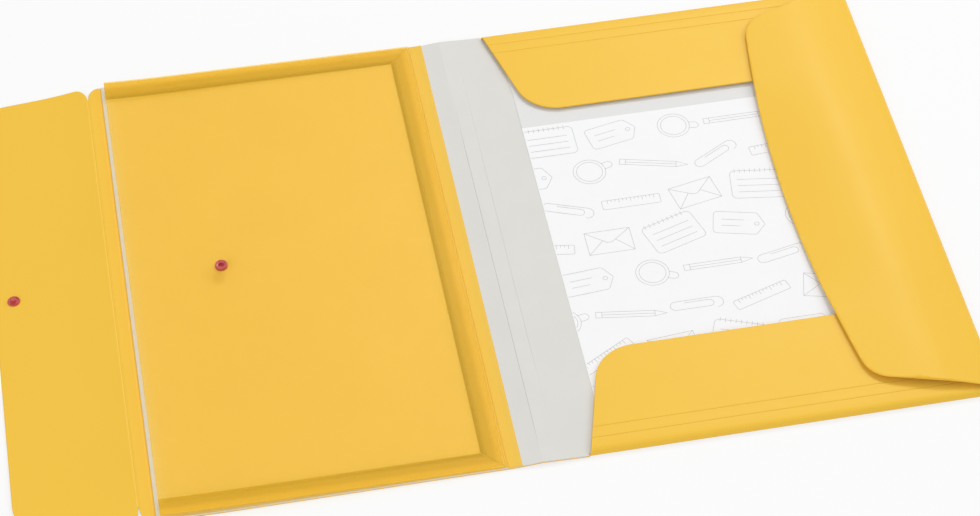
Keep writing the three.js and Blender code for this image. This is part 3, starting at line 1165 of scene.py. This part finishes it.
# A white sheet of uncoated paper lies loose in the folder. Thin grey outlines of stationery
# are printed on it below a plain grey strip, as a layer of ink a hair above the paper.
paper_thickness = 0.2 * mm
paper_edge = 0.05 * mm
paper_white = "FAFAFB"
paper_shade = "F7F7F8"
strip_grey = "E6E6E5"
ink_grey = "C2C2C4"
ink_shade = "B6B6B9"
paper_low, paper_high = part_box("insert_sheet")
paper_wave = 0.05 * mm
paper_wave_seed, paper_wave_length = 51, 0.15
print_top = paper_low[1] + 232 * mm
strip_blur = 0.15 * mm
ink_width = 0.26 * mm
ink_height = 0.03 * mm
ink_gap = 0.004 * mm
ink_roughness = 0.7
least_bisector = 0.4


def paper_face(x, y):
    gap = contact + paper_wave * (1 + swell(x, y, paper_wave_seed, paper_wave_length))
    return np.column_stack([x, y, lining_top + paper_thickness + gap + lift(x, y)])


def make_paper_finish():
    finish, nodes, surface, white = make_finish(
        "sheet_white_paper", (paper_white, paper_shade), scales=(60, 300, 3000),
        roughness=(0.7, 0.85), grain=0.015 * mm, detail=4.0, specular=0.2)
    _, along = place_on_piece(nodes)
    above = ramp(nodes, along, print_top - strip_blur, print_top + strip_blur, 0, 1)
    blend_colour(nodes, surface, above, white, strip_grey)
    return finish


def ribbon(path, closed):
    """Corners and faces of a flat line of ink along a path of (x, y) on the paper, mitred where it
    turns; closed says that the path's end joins its start."""
    path = np.array(path)
    leaving = np.roll(path, -1, axis=0) - path
    if not closed:
        leaving[-1] = leaving[-2]
    leaving /= np.linalg.norm(leaving, axis=1)[:, None]
    arriving = np.roll(leaving, 1, axis=0)
    if not closed:
        arriving[0] = leaving[0]
    ahead = arriving + leaving
    ahead /= np.linalg.norm(ahead, axis=1)[:, None]
    mitre = 1 / np.maximum((ahead * leaving).sum(axis=1), least_bisector)
    side = np.column_stack([-ahead[:, 1], ahead[:, 0]]) * (ink_width / 2 * mitre)[:, None]
    rows = []
    for edge, height in ((side, ink_height), (-side, ink_height), (-side, 0), (side, 0)):
        points = path + edge
        rows.append(paper_face(*points.T) + (0, 0, height + ink_gap))
    n = len(path)
    faces = []
    for i in range(n if closed else n - 1):
        j = (i + 1) % n
        for a, b in ((0, 1), (1, 2), (2, 3), (3, 0)):
            faces.append((a * n + i, b * n + i, b * n + j, a * n + j))
    if not closed:
        faces.append((0, 3 * n, 2 * n, n))
        faces.append((n - 1, 2 * n - 1, 3 * n - 1, 4 * n - 1))
    return np.concatenate(rows), faces


def notepad():
    """A pad with a wire binding, in millimetres about its middle, as (path, closed) pairs."""
    lines = [(rounded([(-16, -11, 3), (16, -11, 3), (16, 11, 3), (-16, 11, 3)], 5), True)]
    lines += [([(x, 9.5), (x, 12.5)], False) for x in range(-13, 14, 3)]
    return lines + [([(-12, y), (12, y)], False) for y in (4, -1, -6)]


def pencil():
    return [
        ([(-17, -1.8), (12, -1.8), (18, 0), (12, 1.8), (-17, 1.8)], True),
        ([(12, -1.8), (12, 1.8)], False), ([(-14, -1.8), (-14, 1.8)], False), ([(-14, 0), (12, 0)], False),
    ]


def ruler():
    lines = [(rounded([(-15, -3, 0.8), (15, -3, 0.8), (15, 3, 0.8), (-15, 3, 0.8)], 3), True)]
    return lines + [([(x, 3), (x, 1.6 if x % 6 else 0.6)], False) for x in range(-12, 13, 2)]


def envelope():
    return [
        ([(-14, -9), (14, -9), (14, 9), (-14, 9)], True),
        ([(-14, 9), (-1.5, -0.6), (1.5, -0.6), (14, 9)], False),
        ([(-14, -9), (-4, 1.2)], False), ([(14, -9), (4, 1.2)], False),
    ]


def paper_clip():
    outer = arc((9, 0), 3, -90, 90, 8) + arc((-9, 0.6), 2.4, 90, 270, 8)
    inner = arc((6, 0), 1.8, -90, 90, 8) + [(-5, 1.8)]
    return [(outer + inner, False)]


def cup():
    return [
        (arc((0, 0), 8, 0, 350, 35), True), (arc((0, 0), 6.4, 0, 348, 29), True),
        ([(7.7, -2), (10.5, -2)] + arc((10.5, 0), 2, -90, 90, 6)[1:] + [(7.7, 2)], False),
    ]


def label():
    return [
        (rounded([(-12, -7, 2), (9, -7, 2), (13, 0, 1), (9, 7, 2), (-12, 7, 2)], 4), True),
        (arc((9, 0), 1.1, 0, 330, 11), True), ([(-8, 2), (3, 2)], False), ([(-8, -2), (1, -2)], False),
    ]


def trimmed(path, low, high):
    """The parts of a path that lie between two corners of the sheet, each a path of its own."""
    runs, run = [], []
    for p, q in zip(path, path[1:]):
        start, end = 0.0, 1.0
        for step, p_axis, least, most in zip(q - p, p, low, high):
            if abs(step) < no_length:
                start, end = (start, end) if least <= p_axis <= most else (1.0, 0.0)
            else:
                enter, leave = sorted(((least - p_axis) / step, (most - p_axis) / step))
                start, end = max(start, enter), min(end, leave)
        if end - start < same_place:
            continue
        if start > 0 or not run:
            run = [p + (q - p) * start]
            runs.append(run)
        run.append(p + (q - p) * end)
        if end < 1:
            run = []
    return runs


motifs = (
    (notepad, 1.0), (pencil, 1.15), (envelope, 0.95), (cup, 1.2), (ruler, 1.15), (label, 1.2),
    (paper_clip, 1.3))
motif_row_step, motif_column_step = 3, 5
motif_tilts = (0, 12, -8, 0, 18, -14, 30, 5, -20)
tilt_row_step = 4
motif_pitch = (38 * mm, 28 * mm)
motif_start = (0.35, 0.52)
odd_row_shift = 0.5
print_rows, print_columns = range(9), range(-1, 6)
print_margin = 0.6 * mm


def make_print():
    """Rows of motifs in a fixed order, each tilted its own way and cut off at the print's edges."""
    verts, faces, count = [], [], 0
    low = np.array(paper_low[:2]) + print_margin
    high = np.array((paper_high[0], print_top)) - print_margin
    for row in print_rows:
        for column in print_columns:
            turn = math.radians(motif_tilts[(row * tilt_row_step + column) % len(motif_tilts)])
            x = paper_low[0] + (column + motif_start[0] + odd_row_shift * (row % 2)) * motif_pitch[0]
            y = print_top - (row + motif_start[1]) * motif_pitch[1]
            motif, scale = motifs[(row * motif_row_step + column * motif_column_step) % len(motifs)]
            for path, closed in motif():
                spots = np.array(path, float) * scale * mm
                turned = np.column_stack([
                    x + spots[:, 0] * np.cos(turn) - spots[:, 1] * np.sin(turn),
                    y + spots[:, 0] * np.sin(turn) + spots[:, 1] * np.cos(turn)])
                if closed:
                    turned = np.vstack([turned, turned[:1]])
                whole = closed and (turned > low).all() and (turned < high).all()
                for run in [turned[:-1]] if whole else trimmed(turned, low, high):
                    points, sides = ribbon(run, whole)
                    verts.append(points)
                    faces += [tuple(count + k for k in side) for side in sides]
                    count += len(points)
    finish, nodes, surface = new_finish("print_grey_ink")
    vary_colour(nodes, surface, blotches(nodes, scale=800), ink_grey, ink_shade)
    surface["Roughness"].default_value = ink_roughness
    piece = new_piece("sheet_print", np.concatenate(verts), faces, finish, sharp=30)
    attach(piece, "back")


def make_paper():
    outline = rectangle(paper_low[0], paper_low[1], paper_high[0], paper_high[1])
    columns = stations(paper_low[0], paper_high[0], panel_step)
    rows = stations(paper_low[1], paper_high[1], panel_step, (print_top,))
    piece = make_sheet(
        "printed_sheet", [outline], paper_face, paper_thickness, columns, rows, make_paper_finish(),
        edge=paper_edge)
    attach(piece, "back")
    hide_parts("insert_sheet")


make_paper()
make_print()

# The table is a plain white surface, which keeps the folder's soft shadow. One soft lamp
# stands behind the folder's right, a larger one at its right and another in front of its
# left, and the room is white.
table_white = (0.92, 0.92, 0.92, 1)
table_roughness = 0.9
table_half = 6.0
table_drop = 0.05 * mm
pure_white = (1, 1, 1, 1)
lamps = (
    ("window", (0.85, 1.73, 1.95), 0.66, 22.7),
    ("side", (2.2, 0.4, 1.7), 1.4, 17),
    ("front fill", (-1.2, -1.5, 1.4), 1.6, 19),
)
room_light = 0.47
table_glow = 0.68


def seen_directly(nodes):
    """1 for what the camera sees, directly, in a mirror or through glass, and 0 for light on the object."""
    path = nodes.new("ShaderNodeLightPath").outputs
    direct = calculate(nodes, "MAXIMUM", path["Is Camera Ray"], path["Is Glossy Ray"])
    return calculate(nodes, "MAXIMUM", direct, path["Is Transmission Ray"])


def make_room():
    world = bpy.data.worlds.new("white room")
    bpy.context.scene.world = world
    world.use_nodes = True
    nodes = world.node_tree.nodes
    lit, seen = nodes["Background"], nodes.new("ShaderNodeBackground")
    for background, strength in ((lit, room_light), (seen, 1)):
        background.inputs["Color"].default_value = pure_white
        background.inputs["Strength"].default_value = strength
    chosen = mix_shaders(
        nodes, seen_directly(nodes), lit.outputs["Background"], seen.outputs["Background"])
    join(chosen, nodes["World Output"].inputs["Surface"])


def make_table():
    corners = [(x, y, 0) for x, y in rectangle(-table_half, -table_half, table_half, table_half)]
    finish, nodes, surface = new_finish("table_white")
    surface["Base Color"].default_value = table_white
    surface["Roughness"].default_value = table_roughness
    surface["Specular IOR Level"].default_value = 0.0
    glow = nodes.new("ShaderNodeEmission")
    glow.inputs["Color"].default_value = pure_white
    share = calculate(nodes, "MULTIPLY", seen_directly(nodes), table_glow)
    plain = nodes["Principled BSDF"].outputs["BSDF"]
    chosen = mix_shaders(nodes, share, plain, glow.outputs["Emission"])
    join(chosen, nodes["Material Output"].inputs["Surface"])
    table = new_piece("table", corners, [(0, 1, 2, 3)], finish)
    table.location.z = -table_drop


def make_lamps():
    for name, place, size, power in lamps:
        light = bpy.data.lights.new(name, "AREA")
        light.size = size
        light.energy = power
        lamp = add_object(name, light)
        lamp.location = place
        lamp.rotation_euler = (-Vector(place)).to_track_quat("-Z", "Y").to_euler()


make_room()
make_table()
make_lamps()

# The camera looks down over the bottom edge of the open folder, from a little to its left.
# The folder's left and right ends run out of the picture.
camera_place = (-0.17105, -1.05214, 1.18272)
camera_right = (0.98327578, -0.18197805, -0.00726216)
camera_up = (0.14057, 0.73298, 0.66556)
focal_pixels = 2766.5
picture_width = 980
sensor_millimetres = 36


def make_camera():
    view = bpy.data.cameras.new("camera")
    view.sensor_width = sensor_millimetres
    view.lens = sensor_millimetres * focal_pixels / picture_width
    right = Vector(camera_right).normalized()
    back = right.cross(Vector(camera_up)).normalized()
    up = back.cross(right)
    camera = add_object("camera", view)
    turn = Matrix((right, up, back)).transposed().to_4x4()
    camera.matrix_world = Matrix.Translation(camera_place) @ turn
    bpy.context.scene.camera = camera


make_camera()
bpy.context.scene.view_settings.view_transform = "Standard"
